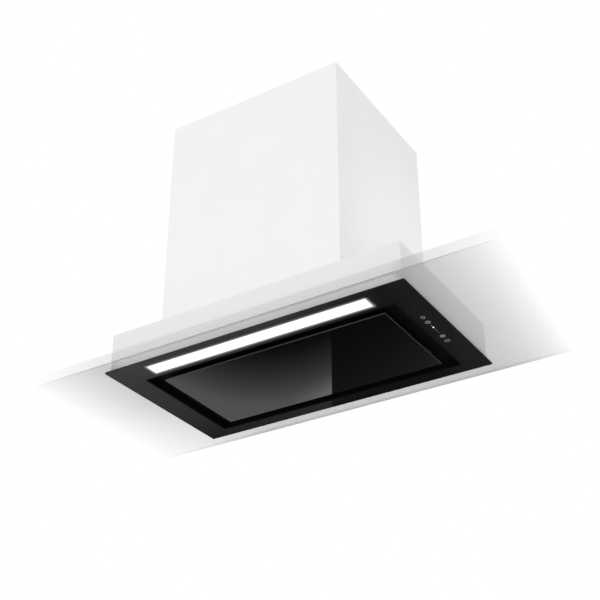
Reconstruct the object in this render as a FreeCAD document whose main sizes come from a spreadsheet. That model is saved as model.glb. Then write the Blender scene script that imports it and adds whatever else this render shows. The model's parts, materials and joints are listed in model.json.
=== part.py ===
"""Ceiling range hood: a black glass suction fascia under a white casing and chimney, in a see-through tray.

Millimetres. The origin is the middle of the ceiling bracket's top face, +Z up, the light strip towards -Y
and the touch keys towards +X.
"""
import FreeCAD, Part
import math
import os
import Sketcher
from types import SimpleNamespace
from FreeCAD import Vector

SIZES = {
    # glass fascia
    "fascia_width": 900, "fascia_depth": 498, "glass": 4, "fascia_corner": 3, "glass_bevel": 0.6,
    "side_margin": 69.5, "front_margin": 87, "rear_margin": 39,
    "strip_length": 658, "strip_depth": 38, "strip_inset": 30,
    "fit": 0.3, "sheet": 1.2, "frame_rise": 20,
    # light strip
    "lens_flange": 5, "lens_flange_thick": 1.5, "lamp_rise": 24, "board": 1.6, "board_margin": 10,
    "chip": 5, "chip_thick": 0.9, "chip_count": 22,
    # touch keys
    "key_inset": 43.5, "key_board_width": 24, "key_board_length": 220, "key_cover_rise": 10,
    # moulded recess
    "recess_wall": 2, "recess_rise": 20, "recess_start": 0.5, "ledge_width": 52, "lip_rise": 12,
    "flange_reach": 10,
    # suction panel
    "gap_side": 43, "gap_front": 28, "gap_rear": 33, "tray_inset": 10, "tray_rise": 9, "tray_sheet": 1,
    "hinge_spread": 250, "hinge_back": 10, "hinge_rise": 11, "hinge_radius": 5, "hinge_length": 24,
    "ear": 3, "pin_radius": 2.5, "pin_play": 0.04, "arm_reach": 37, "arm_foot": 14, "arm_thick": 3,
    "catch_spread": 220, "catch_length": 40, "catch_depth": 12, "catch_gap": 0.3,
    # grease filters
    "filter_thick": 9, "filter_play": 1, "filter_border": 12, "latch_border": 38,
    "slot": 14, "slot_pitch": 20, "slot_rows": 8, "slot_columns": 14, "mesh_thick": 3,
    "window_width": 46, "window_length": 30, "window_wall": 4, "slider_length": 18, "slider_play": 0.2,
    "tongue_width": 30, "tongue_reach": 5, "tongue_thick": 1.5, "tab_width": 24,
    "finger_width": 32, "finger_length": 9, "finger_depth": 4.5,
    # casing and chimney
    "body_inset": 10, "body_rise": 118, "body_corner": 3, "air_width": 400, "air_depth": 260,
    "chimney_width": 550, "drop": 762, "ceiling_gap": 2, "foot_flange": 15,
    # see-through canopy
    "canopy_width": 1400, "canopy_front": 39, "canopy_rear": 49, "canopy_rise": 29, "canopy_skin": 5,
    "canopy_corner": 4,
    # hanging frame
    "bracket_width": 470, "bracket_depth": 420, "bracket_sheet": 3, "bracket_rim": 30, "bracket_hole": 210,
    "anchor_x": 360, "anchor_y": 320, "anchor_radius": 4.5,
    "post_leg": 25, "post_sheet": 2.5, "post_x": 205, "foot": 45, "foot_bolt": 32, "rim_bolt": 15,
    "cable_radius": 9, "cable_land": 27,
    # blower
    "galvanised": 1, "box_side_gap": 40, "box_end_gap": 89,
    "impeller_radius": 95, "impeller_width": 80, "blade_count": 36, "blade_depth": 18, "blade": 1.2,
    "hub_radius": 14, "hub_length": 22, "shaft_radius": 4, "shaft_play": 0.03, "shaft_length": 76,
    "tongue_gap": 8, "scroll_growth": 47, "scroll_wall": 2, "scroll_side": 10, "scroll_lift": 152,
    "throat_lift": 125, "throat_corner": 8, "inlet_radius": 74,
    "motor_radius": 48, "motor_length": 66, "motor_screw_reach": 37.5,
    "collar_radius": 74.5, "collar_wall": 1.5, "collar_length": 45, "reducer_rise": 60, "collar_flange": 14,
    "flap_gap": 12, "flap_play": 2, "flap": 1.2, "knuckle_radius": 3, "knuckle_length": 120, "rod_radius": 1.5,
    # control box
    "control_width": 220, "control_depth": 50, "control_height": 55, "control_gap": 13, "control_wall": 2,
    "relay_rise": 26, "plug_rise": 16, "coil_rise": 20, "board_part_width": 26, "board_part_depth": 23,
    "gland_radius": 9, "gland_bore": 4, "gland_nut": 12, "gland_dome": 10,
    "capacitor_radius": 17, "capacitor_height": 70, "capacitor_bevel": 2,
    "terminal_width": 6, "terminal_rise": 8, "terminal_thick": 1, "terminal_spread": 11,
    "driver_width": 29, "driver_length": 165, "driver_rise": 20,
    # fasteners
    "screw_radius": 2, "screw_head": 3.8, "bolt_radius": 3, "bolt_head": 5.5, "bolt_length": 12,
    "screw_length": 6, "screw_head_rise": 2.2, "bolt_head_rise": 4, "hole_play": 0.2,
    "rivet_head_rise": 1.2, "rivet_spread": 616, "rivet_rise": 12,
}
TONGUE_ANGLE = 65.0     # degrees from the throat's side of the scroll to the cut-off tongue
CHIP_SPAN = 0.96        # share of the board that the row of chips covers
BLADE_HOOK = 7.0        # degrees by which a blade's tip leads its root
BLADE_CURL = 0.7        # radius of a blade's arc as a share of its chord
HEAD_TAPER = 0.7        # a screw head's top radius as a share of its seat
MOTOR_WAIST = 0.9       # radii of the motor's steps as shares of its widest one
MOTOR_SHOULDER = 0.82
MOTOR_NOSE = 0.4
MOTOR_RIBS = 12
SPIRAL_STEPS = 24


class Size:
    """A length that knows both its number and the sheet formula that gives it."""

    def __init__(self, formula, value):
        self.formula = formula
        self.value = value

    def joined(self, sign, other, value, turned=False):
        pair = [self.formula, text(other)]
        if turned:
            pair.reverse()
        return Size("(" + sign.join(pair) + ")", value)

    def __add__(self, other):
        return self.joined(" + ", other, self.value + number(other))

    def __radd__(self, other):
        return self + other

    def __sub__(self, other):
        return self.joined(" - ", other, self.value - number(other))

    def __rsub__(self, other):
        return self.joined(" - ", other, number(other) - self.value, turned=True)

    def __mul__(self, other):
        return self.joined(" * ", other, self.value * number(other))

    def __rmul__(self, other):
        return self * other

    def __truediv__(self, other):
        return self.joined(" / ", other, self.value / number(other))

    def __neg__(self):
        return self * -1


def number(size):
    return size.value if isinstance(size, Size) else size


def text(size):
    return size.formula if isinstance(size, Size) else str(size)


def bind(item, prop, size):
    """Gives a property its number now and its formula for later changes of the sheet."""
    item.setExpression(prop, text(size))


def driving_sheet():
    sheet = doc.addObject("Spreadsheet::Sheet", "dims")
    for row, (name, value) in enumerate(SIZES.items(), start=1):
        sheet.set("A%d" % row, name)
        sheet.set("B%d" % row, str(value))
        sheet.setAlias("B%d" % row, name)
    doc.recompute()
    return SimpleNamespace(**{name: Size("dims." + name, float(sheet.get(name))) for name in SIZES})


def place(item, x=0, y=0, z=0):
    for axis, size in zip("xyz", (x, y, z)):
        bind(item, "Placement.Base." + axis, size)


def new_body(name, x=0, y=0, z=0):
    """An empty sub-part whose own origin stands at x, y, z."""
    item = doc.addObject("PartDesign::Body", name)
    item.Label = name
    place(item, x, y, z)
    return item


def new_sketch(item, plane="XY_Plane", x=0, y=0, z=0):
    """An empty sketch on one of the sub-part's planes, moved by x, y in the sketch and z off the plane."""
    flat = item.newObject("Sketcher::SketchObject", item.Label + "_sketch")
    base = [feature for feature in item.Origin.OriginFeatures if feature.Role == plane][0]
    flat.AttachmentSupport = [(base, "")]
    flat.MapMode = "FlatFace"
    for axis, size in zip("xyz", (x, y, z)):
        bind(flat, "AttachmentOffset.Base." + axis, size)
    return flat


def constrain(flat, *terms, size=None):
    if size is None:
        return flat.addConstraint(Sketcher.Constraint(*terms))
    index = flat.addConstraint(Sketcher.Constraint(*terms, number(size)))
    bind(flat, "Constraints[%d]" % index, size)
    return index


def add_rectangle(flat, width, depth, corner=None):
    """A rectangle about the sketch's centre, with round corners where a radius is given."""
    half_w, half_d = number(width) / 2, number(depth) / 2
    radius = number(corner) if corner is not None else 0.0
    right, top = half_w - radius, half_d - radius
    ends = [((-right, -half_d), (right, -half_d)), ((half_w, -top), (half_w, top)),
            ((right, half_d), (-right, half_d)), ((-half_w, top), (-half_w, -top))]
    sides = [flat.addGeometry(Part.LineSegment(Vector(*a, 0), Vector(*b, 0)), False) for a, b in ends]
    if radius:
        middles = [(right, -top), (right, top), (-right, top), (-right, -top)]
        for turn, middle in enumerate(middles):
            circle = Part.Circle(Vector(*middle, 0), Vector(0, 0, 1), radius)
            start = (turn - 1) * math.pi / 2
            arc = flat.addGeometry(Part.ArcOfCircle(circle, start, start + math.pi / 2), False)
            constrain(flat, "Tangent", sides[turn], 2, arc, 1)
            constrain(flat, "Tangent", arc, 2, sides[(turn + 1) % 4], 1)
            if turn:
                constrain(flat, "Equal", first_arc, arc)
            else:
                first_arc = arc
                constrain(flat, "Radius", arc, size=corner)
    else:
        for turn in range(4):
            constrain(flat, "Coincident", sides[turn], 2, sides[(turn + 1) % 4], 1)
    constrain(flat, "Horizontal", sides[2])
    constrain(flat, "Vertical", sides[3])
    constrain(flat, "DistanceX", sides[3], 1, sides[1], 1, size=width)
    constrain(flat, "DistanceY", sides[0], 1, sides[2], 1, size=depth)
    constrain(flat, "Symmetric", sides[0], 1, sides[0], 2, -2)
    constrain(flat, "Symmetric", sides[1], 1, sides[1], 2, -1)


def add_circle(flat, radius):
    circle = flat.addGeometry(Part.Circle(Vector(0, 0, 0), Vector(0, 0, 1), number(radius)), False)
    constrain(flat, "Coincident", circle, 3, -1, 1)
    constrain(flat, "Radius", circle, size=radius)


def add_hole_pattern(flat, radius, spacing_x, spacing_y):
    """Four equal circles at the corners of a rectangle about the sketch's centre."""
    half_x, half_y = number(spacing_x) / 2, number(spacing_y) / 2
    rings = []
    for x, y in ((-half_x, -half_y), (half_x, -half_y), (half_x, half_y), (-half_x, half_y)):
        circle = Part.Circle(Vector(x, y, 0), Vector(0, 0, 1), number(radius))
        rings.append(flat.addGeometry(circle, False))
    constrain(flat, "Radius", rings[0], size=radius)
    for ring in rings[1:]:
        constrain(flat, "Equal", rings[0], ring)
    constrain(flat, "Symmetric", rings[0], 3, rings[1], 3, -2)
    constrain(flat, "Symmetric", rings[3], 3, rings[2], 3, -2)
    constrain(flat, "Symmetric", rings[1], 3, rings[2], 3, -1)
    constrain(flat, "DistanceX", rings[0], 3, rings[1], 3, size=spacing_x)
    constrain(flat, "DistanceY", rings[0], 3, rings[3], 3, size=spacing_y)


def pad(item, flat, length, down=False):
    step = item.newObject("PartDesign::Pad", item.Label + "_pad")
    step.Profile = flat
    step.Reversed = down
    bind(step, "Length", length)
    item.Tip = step
    return step


def cut(item, flat, length, up=True):
    """Pockets the sketch, up along its normal unless told otherwise."""
    step = item.newObject("PartDesign::Pocket", item.Label + "_cut")
    step.Profile = flat
    step.Reversed = up
    bind(step, "Length", length)
    item.Tip = step
    return step


def pad_block(item, width, depth, height, x=0, y=0, z=0, corner=None):
    flat = new_sketch(item, x=x, y=y, z=z)
    add_rectangle(flat, width, depth, corner)
    return pad(item, flat, height)


def cut_block(item, width, depth, height, x=0, y=0, z=0, corner=None):
    flat = new_sketch(item, x=x, y=y, z=z)
    add_rectangle(flat, width, depth, corner)
    return cut(item, flat, height)


def pad_ring(item, outer, inner, height, x=0, y=0, z=0, corner=None):
    """A rectangular ring, its outer and inner sizes given as width and depth."""
    flat = new_sketch(item, x=x, y=y, z=z)
    add_rectangle(flat, *outer, corner)
    add_rectangle(flat, *inner)
    return pad(item, flat, height)


def bevel_underside(item, size):
    """Grinds the edges of the lowest face."""
    doc.recompute()
    shape = item.Tip.Shape
    low = shape.BoundBox.ZMin
    names = ["Edge%d" % (i + 1) for i, edge in enumerate(shape.Edges)
             if edge.BoundBox.ZMax < low + 1e-6]
    base = item.Tip
    step = item.newObject("PartDesign::Chamfer", item.Label + "_bevel")
    step.Base = (base, names)
    bind(step, "Size", size)
    item.Tip = step


def solid_part(name, shape, x=0, y=0, z=0):
    """A sub-part made from a shape worked out in code."""
    item = doc.addObject("Part::Feature", name)
    item.Label = name
    item.Shape = shape
    item.Placement = FreeCAD.Placement(Vector(number(x), number(y), number(z)), FreeCAD.Rotation())
    return item


def cylinder(radius, length, base, along):
    start = Vector(*[number(c) for c in base])
    return Part.makeCylinder(number(radius), number(length), start, Vector(*along))


def revolved(outline, axis_at, along):
    """Turns a closed outline about an axis."""
    face = Part.Face(Part.makePolygon([Vector(*point) for point in outline + outline[:1]]))
    return face.revolve(Vector(*axis_at), Vector(*along), 360)


def screws(name, places, along, head, shank, length, head_height):
    """Identical pan-head screws: each head stands on its place and the shank runs along the direction."""
    solids = []
    for spot in places:
        spot = Vector(*[number(c) for c in spot])
        way = Vector(*along)
        shaft = Part.makeCylinder(number(shank), number(length), spot, way)
        top = Part.makeCone(number(head), number(head) * HEAD_TAPER, number(head_height), spot, way * -1)
        solids.append(shaft.fuse(top).removeSplitter())
    return solid_part(name, Part.makeCompound(solids))


doc = FreeCAD.newDocument("ceiling_hood")
d = driving_sheet()

# ---- places worked out from the driving sizes ----
deck = -d.drop                                   # underside of the fascia
opening_width = d.fascia_width - 2 * d.side_margin
opening_depth = d.fascia_depth - d.front_margin - d.rear_margin
opening_y = (d.front_margin - d.rear_margin) / 2
strip_y = d.strip_inset + (d.strip_depth - d.fascia_depth) / 2
key_x = d.fascia_width / 2 - d.key_inset
body_width = d.fascia_width - 2 * d.body_inset
body_depth = d.fascia_depth - 2 * d.body_inset
body_top = deck + d.body_rise
recess_width = opening_width - 2 * d.fit
recess_depth = opening_depth - 2 * d.fit
filter_hole_width = recess_width - 2 * d.ledge_width
filter_hole_depth = recess_depth - 2 * d.ledge_width
lip_top = d.recess_rise + d.recess_wall + d.lip_rise
panel_width = opening_width - 2 * d.gap_side
panel_depth = opening_depth - d.gap_front - d.gap_rear
panel_y = opening_y + (d.gap_front - d.gap_rear) / 2
tray_width = panel_width - 2 * d.tray_inset
tray_depth = panel_depth - 2 * d.tray_inset
tray_front = panel_y - tray_depth / 2
hinge_y = panel_y + panel_depth / 2 + d.hinge_back
lens_length = d.strip_length + 2 * d.lens_flange
lens_depth = d.strip_depth + 2 * d.lens_flange
lamp_length = lens_length + 2 * (d.fit + d.sheet)
lamp_depth = lens_depth + 2 * (d.fit + d.sheet)
key_cover_width = d.key_board_width + 2 * (d.fit + d.sheet)
key_cover_length = d.key_board_length + 2 * (d.fit + d.sheet)
filter_width = (filter_hole_width - 3 * d.filter_play) / 2
filter_depth = filter_hole_depth - 2 * d.filter_play
filter_x = (filter_width + d.filter_play) / 2
filter_rise = lip_top - d.filter_thick
latch_y = filter_depth / 2 - d.window_wall - d.slider_play - d.slider_length / 2
catch_y = tray_front + d.tray_sheet + d.catch_depth / 2
scroll_exit = d.impeller_radius + d.tongue_gap + d.scroll_growth
scroll_width = d.impeller_width + 2 * d.scroll_side
throat_inner = (d.impeller_radius + d.tongue_gap) * round(math.cos(math.radians(TONGUE_ANGLE)), 6)
throat = scroll_exit - throat_inner
scroll_x = -(scroll_exit + throat_inner) / 2
scroll_z = body_top + d.scroll_lift
box_rise = d.scroll_lift + d.throat_lift + d.galvanised
box_top = body_top + box_rise
collar_base = box_top + d.reducer_rise
rod_z = collar_base + d.flap_gap
rod_y = 2 * d.knuckle_radius
post_y = d.bracket_depth / 2 - d.bracket_sheet
motor_y = scroll_width / 2 + d.scroll_wall
box_width = d.chimney_width - 2 * d.box_side_gap
box_depth = body_depth - 2 * d.box_end_gap
control_y = (box_depth + d.control_depth) / 2 + d.control_gap


# ---- glass fascia and what it carries ----
def fascia_glass():
    item = new_body("fascia_glass", z=deck)
    pad_block(item, d.fascia_width, d.fascia_depth, d.glass, corner=d.fascia_corner)
    cut_block(item, opening_width, opening_depth, d.glass, y=opening_y)
    cut_block(item, d.strip_length, d.strip_depth, d.glass, y=strip_y)
    bevel_underside(item, d.glass_bevel)


def fascia_frame():
    """Folded steel carrier that the glass is bonded to, with an upturned rim inside the casing."""
    item = new_body("fascia_frame", z=deck + d.glass)
    width = body_width - 2 * (d.sheet + d.fit)
    depth = body_depth - 2 * (d.sheet + d.fit)
    pad_block(item, width, depth, d.frame_rise, corner=d.body_corner)
    cut_block(item, width - 2 * d.sheet, depth - 2 * d.sheet, d.frame_rise, z=d.sheet)
    cut_block(item, opening_width, opening_depth, d.sheet, y=opening_y)
    cut_block(item, lamp_length + 2 * d.fit, lamp_depth + 2 * d.fit, d.sheet, y=strip_y)
    cut_block(item, key_cover_width + 2 * d.fit, key_cover_length + 2 * d.fit, d.sheet, x=key_x)
    rivet_holes(item)


def rivet_holes(item):
    """Two holes through the front wall and two through the rear wall, level with the carrier's rim."""
    flat = new_sketch(item, "XZ_Plane", y=d.rivet_rise, z=-body_depth / 2)
    add_row(flat, d.screw_radius, d.rivet_spread)
    cut(item, flat, body_depth)


def led_lens():
    item = new_body("led_lens", z=deck)
    window = (d.strip_length - 2 * d.fit, d.strip_depth - 2 * d.fit)
    pad_block(item, *window, d.glass - d.fit, y=strip_y, z=d.fit)
    pad_block(item, lens_length, lens_depth, d.lens_flange_thick, y=strip_y, z=d.glass)


def led_housing():
    item = new_body("led_housing", z=deck + d.glass)
    pad_block(item, lamp_length, lamp_depth, d.lamp_rise, y=strip_y)
    inner = (lamp_length - 2 * d.sheet, lamp_depth - 2 * d.sheet)
    cut_block(item, *inner, d.lamp_rise - d.sheet, y=strip_y)


def led_board():
    """Aluminium-backed strip on the housing's roof, with its row of light chips facing down."""
    top = d.glass + d.lamp_rise - d.sheet
    length = d.strip_length - 2 * d.board_margin
    item = new_body("led_board", z=deck + top - d.board)
    pad_block(item, length, d.strip_depth - d.board_margin, d.board, y=strip_y)
    flat = new_sketch(item, x=-length * CHIP_SPAN / 2, y=strip_y)
    add_rectangle(flat, d.chip, d.chip)
    chip = pad(item, flat, d.chip_thick, down=True)
    row = item.newObject("PartDesign::LinearPattern", "led_board_row")
    row.Originals = [chip]
    row.Direction = (flat, ["H_Axis"])
    bind(row, "Length", length * CHIP_SPAN)
    bind(row, "Occurrences", d.chip_count)
    item.Tip = row


def touch_keys():
    board = new_body("touch_board", x=key_x, z=deck + d.glass)
    pad_block(board, d.key_board_width, d.key_board_length, d.board)
    cover = new_body("touch_cover", x=key_x, z=deck + d.glass)
    pad_block(cover, key_cover_width, key_cover_length, d.key_cover_rise, corner=d.sheet)
    inner = (key_cover_width - 2 * d.sheet, key_cover_length - 2 * d.sheet)
    cut_block(cover, *inner, d.key_cover_rise - d.sheet)


def recess_surround():
    """Black moulding that lines the opening: wall, ledge over the suction gap, and a lip for the filters."""
    item = new_body("recess_surround", z=deck)
    outer = (recess_width, recess_depth)
    inner = (recess_width - 2 * d.recess_wall, recess_depth - 2 * d.recess_wall)
    hole = (filter_hole_width, filter_hole_depth)
    lip = (filter_hole_width + 2 * d.recess_wall, filter_hole_depth + 2 * d.recess_wall)
    flange = (recess_width + 2 * d.flange_reach, recess_depth + 2 * d.flange_reach)
    ledge = d.recess_rise + d.recess_wall
    pad_ring(item, outer, inner, ledge - d.recess_start, y=opening_y, z=d.recess_start)
    pad_ring(item, outer, hole, d.recess_wall, y=opening_y, z=d.recess_rise)
    pad_ring(item, lip, hole, d.lip_rise + d.recess_wall, y=opening_y, z=d.recess_rise)
    pad_ring(item, flange, inner, d.recess_wall, y=opening_y, z=d.glass + d.sheet)


# ---- suction panel on its hinges ----
def panel():
    glass = new_body("panel_glass", z=deck)
    pad_block(glass, panel_width, panel_depth, d.glass, y=panel_y, corner=d.fascia_corner)
    bevel_underside(glass, d.glass_bevel)
    tray = new_body("panel_tray", z=deck + d.glass)
    rise = d.tray_rise - d.glass
    pad_block(tray, tray_width, tray_depth, rise, y=panel_y, corner=d.fascia_corner)
    inner = (tray_width - 2 * d.tray_sheet, tray_depth - 2 * d.tray_sheet)
    cut_block(tray, *inner, rise, y=panel_y, z=d.tray_sheet)


def hinge_arm(name, x):
    """Barrel on the pin, with an arm over the tray's rim and a foot on the tray's floor."""
    length = number(d.hinge_length) - 2 * number(d.fit)
    floor = number(d.glass + d.tray_sheet - d.hinge_rise)
    rim = number(d.tray_rise - d.hinge_rise)
    reach, foot, thick = number(d.arm_reach), number(d.arm_foot), number(d.arm_thick)
    outline = [(0, 0, rim), (0, -reach + foot, rim), (0, -reach + foot, floor), (0, -reach, floor),
               (0, -reach, rim + thick), (0, 0, rim + thick)]
    corners = [Vector(*point) for point in outline + outline[:1]]
    arm = Part.Face(Part.makePolygon(corners)).extrude(Vector(length, 0, 0))
    barrel = cylinder(d.hinge_radius, length, (0, 0, 0), (1, 0, 0))
    bore = cylinder(d.pin_radius + d.pin_play, length, (0, 0, 0), (1, 0, 0))
    shape = arm.fuse(barrel).removeSplitter().cut(bore)
    solid_part(name, shape, x - length / 2, hinge_y, deck + d.hinge_rise)


def hinge_bracket(name, x):
    """Two rounded ears hanging from a plate under the ledge."""
    span = number(d.hinge_length)
    ear, radius = number(d.ear), number(d.hinge_radius)
    top = number(d.recess_rise - d.hinge_rise)
    low_corner = Vector(-span / 2 - ear, -radius, top - ear / 2)
    plate = Part.makeBox(span + 2 * ear, 2 * radius, ear / 2, low_corner)
    for side in (-span / 2 - ear, span / 2):
        web = Part.makeBox(ear, 2 * radius, top, Vector(side, -radius, 0))
        plate = plate.fuse([web, cylinder(radius, ear, (side, 0, 0), (1, 0, 0))])
    bore = cylinder(d.pin_radius, span + 4 * ear, (-span / 2 - 2 * ear, 0, 0), (1, 0, 0))
    solid_part(name, plate.removeSplitter().cut(bore), x, hinge_y, deck + d.hinge_rise)


def hinges():
    for side, x in (("left", -number(d.hinge_spread)), ("right", number(d.hinge_spread))):
        hinge_arm("hinge_arm_" + side, x)
        hinge_bracket("hinge_bracket_" + side, x)
        length = number(d.hinge_length + 2 * d.ear)
        pin = cylinder(d.pin_radius, length, (-length / 2, 0, 0), (1, 0, 0))
        head = cylinder(d.hinge_radius - d.sheet, d.ear / 2, (-length / 2, 0, 0), (-1, 0, 0))
        shape = pin.fuse(head).removeSplitter()
        solid_part("hinge_pin_" + side, shape, x, hinge_y, deck + d.hinge_rise)


def catches():
    """Magnets under the ledge and the steel keepers that meet them on the tray."""
    for side, x in (("left", -d.catch_spread), ("right", d.catch_spread)):
        magnet = new_body("catch_magnet_" + side, x, catch_y, deck + d.tray_rise + d.catch_gap)
        height = d.recess_rise - d.tray_rise - d.catch_gap
        pad_block(magnet, d.catch_length, d.catch_depth, height, corner=d.sheet)
        keeper = new_body("catch_keeper_" + side, x, catch_y, deck + d.glass + d.tray_sheet)
        rise = d.tray_rise - d.glass - d.tray_sheet
        pad_block(keeper, d.catch_length, d.catch_depth, rise)


# ---- grease filters ----
def grease_filter(side, x):
    frame = new_body("filter_frame_" + side, x, opening_y, deck + filter_rise)
    pad_block(frame, filter_width, filter_depth, d.filter_thick, corner=d.fascia_corner)
    mesh_width = filter_width - 2 * d.filter_border
    mesh_depth = filter_depth - d.filter_border - d.latch_border
    mesh_y = (d.filter_border - d.latch_border) / 2
    cut_block(frame, mesh_width, mesh_depth, d.filter_thick, y=mesh_y)
    window_y = filter_depth / 2 - d.window_wall - d.window_length / 2
    cut_block(frame, d.window_width, d.window_length, d.filter_thick, y=window_y)
    for tab_x in (-filter_width / 4, filter_width / 4):
        tab_length = d.filter_border + d.tongue_reach + d.filter_play
        tab_y = (d.filter_border - filter_depth - d.tongue_reach - d.filter_play) / 2
        pad_block(frame, d.tab_width, tab_length, d.tongue_thick, x=tab_x, y=tab_y, z=d.filter_thick)
    filter_mesh(side, x, mesh_width, mesh_depth, opening_y + mesh_y)
    filter_latch(side, x)


def filter_mesh(side, x, mesh_width, mesh_depth, mesh_y):
    """Sheet of expanded metal, drawn as rows of square openings."""
    mesh = new_body("filter_mesh_" + side, x, mesh_y, deck + filter_rise + d.mesh_thick)
    pad_block(mesh, mesh_width, mesh_depth, d.mesh_thick)
    rows_y = -(d.slot_rows - 1) * d.slot_pitch / 2
    columns_x = -(d.slot_columns - 1) * d.slot_pitch / 2
    flat = new_sketch(mesh, x=columns_x, y=rows_y)
    add_rectangle(flat, d.slot, d.slot)
    hole = cut(mesh, flat, d.mesh_thick)
    grid = mesh.newObject("PartDesign::LinearPattern", "filter_mesh_row_" + side)
    grid.Originals = [hole]
    grid.Direction = (flat, ["H_Axis"])
    bind(grid, "Length", (d.slot_columns - 1) * d.slot_pitch)
    bind(grid, "Occurrences", d.slot_columns)
    grid.Direction2 = (flat, ["V_Axis"])
    bind(grid, "Length2", (d.slot_rows - 1) * d.slot_pitch)
    bind(grid, "Occurrences2", d.slot_rows)
    mesh.Tip = grid


def filter_latch(side, x):
    """Slider in the frame's window, with a finger pocket below and a tongue that holds on the lip."""
    latch = new_body("filter_latch_" + side, x, opening_y + latch_y, deck + filter_rise + d.slider_play)
    block = d.window_width - 2 * d.fit
    rise = d.filter_thick
    pad_block(latch, block, d.slider_length, rise)
    pad_block(latch, d.window_width + 4 * d.tongue_thick, d.slider_length, d.tongue_thick, z=rise)
    reach = d.slider_play + d.window_wall + d.filter_play + d.recess_wall + d.tongue_reach
    pad_block(latch, d.tongue_width, reach + d.slider_play, d.tongue_thick,
              y=(d.slider_length + reach - d.slider_play) / 2, z=rise)
    cut_block(latch, d.finger_width, d.finger_length, d.finger_depth, corner=d.tongue_thick)


# ---- casing, chimney cover and canopy ----
def body_shell():
    """White casing, open below, its roof cut out for the air and drilled for posts and chimney."""
    item = new_body("body_shell", z=deck + d.glass)
    rise = d.body_rise - d.glass
    pad_block(item, body_width, body_depth, rise, corner=d.body_corner)
    cut_block(item, body_width - 2 * d.sheet, body_depth - 2 * d.sheet, rise - d.sheet)
    cut_block(item, d.air_width, d.air_depth, rise)
    rivet_holes(item)
    flat = new_sketch(item)
    add_hole_pattern(flat, d.bolt_radius + d.hole_play, *foot_spacing)
    cut(item, flat, rise)
    flat = new_sketch(item)
    add_hole_pattern(flat, d.screw_radius + d.hole_play, *chimney_spacing)
    cut(item, flat, rise)


def chimney_cover():
    item = new_body("chimney_cover", z=body_top)
    rise = d.drop - d.body_rise - d.ceiling_gap
    inner = (d.chimney_width - 2 * d.sheet, body_depth - 2 * d.sheet)
    pad_block(item, d.chimney_width, body_depth, rise, corner=d.body_corner)
    cut_block(item, *inner, rise, z=d.sheet)
    cut_block(item, inner[0] - 2 * d.foot_flange, inner[1] - 2 * d.foot_flange, d.sheet)
    flat = new_sketch(item)
    add_hole_pattern(flat, d.screw_radius + d.hole_play, *chimney_spacing)
    cut(item, flat, d.sheet)


def canopy_tray():
    """See-through tray round the casing: a flat skin with an upturned rim outside and at the cut-out."""
    width = d.canopy_width
    depth = d.fascia_depth + d.canopy_front + d.canopy_rear
    y = (d.canopy_rear - d.canopy_front) / 2
    hole = (body_width + 2 * d.fit, body_depth + 2 * d.fit)
    item = new_body("canopy_tray", z=deck + d.glass)
    pad_block(item, width, depth, d.canopy_skin, y=y, corner=d.canopy_corner)
    flat = new_sketch(item, y=y)
    add_rectangle(flat, width, depth, d.canopy_corner)
    add_rectangle(flat, width - 2 * d.canopy_skin, depth - 2 * d.canopy_skin)
    pad(item, flat, d.canopy_rise)
    pad_block(item, hole[0] + 2 * d.canopy_skin, hole[1] + 2 * d.canopy_skin, d.canopy_rise)
    cut_block(item, *hole, d.canopy_rise)


# ---- hanging frame ----
def ceiling_bracket():
    item = new_body("ceiling_bracket", z=-d.bracket_rim)
    pad_block(item, d.bracket_width, d.bracket_depth, d.bracket_rim)
    rim = d.bracket_rim - d.bracket_sheet
    cut_block(item, d.bracket_width, d.bracket_depth - 2 * d.bracket_sheet, rim)
    cut_block(item, d.bracket_hole, d.bracket_hole, d.bracket_sheet, z=rim, corner=d.bracket_rim)
    flat = new_sketch(item, x=-cable_x, z=rim)
    add_circle(flat, d.cable_radius)
    cut(item, flat, d.bracket_sheet)
    flat = new_sketch(item, z=rim)
    add_hole_pattern(flat, d.anchor_radius, d.anchor_x, d.anchor_y)
    cut(item, flat, d.bracket_sheet)
    flat = new_sketch(item, "XZ_Plane", y=rim / 2, z=-d.bracket_depth / 2)
    add_row(flat, d.bolt_radius + d.hole_play, 2 * rim_bolt_x)
    cut(item, flat, d.bracket_depth)


def add_row(flat, radius, spacing):
    """Two equal circles in a line about the sketch's centre."""
    half = number(spacing) / 2
    rings = [flat.addGeometry(Part.Circle(Vector(x, 0, 0), Vector(0, 0, 1), number(radius)), False)
             for x in (-half, half)]
    constrain(flat, "Radius", rings[0], size=radius)
    constrain(flat, "Equal", rings[0], rings[1])
    constrain(flat, "Symmetric", rings[0], 3, rings[1], 3, -1, 1)
    constrain(flat, "PointOnObject", rings[0], 3, -1)
    constrain(flat, "DistanceX", rings[0], 3, rings[1], 3, size=spacing)


def hanging_post(name, side_x, side_y):
    """Steel angle from the bracket's rim down to a foot plate on the casing's roof."""
    length = number(d.drop - d.body_rise - d.bracket_sheet)
    leg, thick, foot = number(d.post_leg), number(d.post_sheet), number(d.foot)
    angle = [(0, 0), (leg, 0), (leg, -thick), (thick, -thick), (thick, -leg), (0, -leg)]
    profile = Part.Face(Part.makePolygon([Vector(x, y, 0) for x, y in angle + angle[:1]]))
    shape = profile.extrude(Vector(0, 0, length))
    plate = Part.makeBox(foot, foot, thick, Vector(0, -foot, 0))
    shape = shape.fuse(plate).removeSplitter()
    bolt = number(d.bolt_radius + d.hole_play)
    foot_bolt, rim_bolt = number(d.foot_bolt), number(d.rim_bolt)
    rim = number(d.bracket_rim - d.bracket_sheet) / 2
    foot_hole = cylinder(bolt, thick, (foot_bolt, -foot_bolt, 0), (0, 0, 1))
    rim_hole = cylinder(bolt, thick, (rim_bolt, -thick, length - rim), (0, 1, 0))
    shape = shape.cut([foot_hole, rim_hole])
    if side_x < 0:
        shape = shape.mirror(Vector(), Vector(1, 0, 0))
    if side_y < 0:
        shape = shape.mirror(Vector(), Vector(0, 1, 0))
    solid_part(name, shape, side_x * d.post_x, side_y * post_y, body_top)


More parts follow.
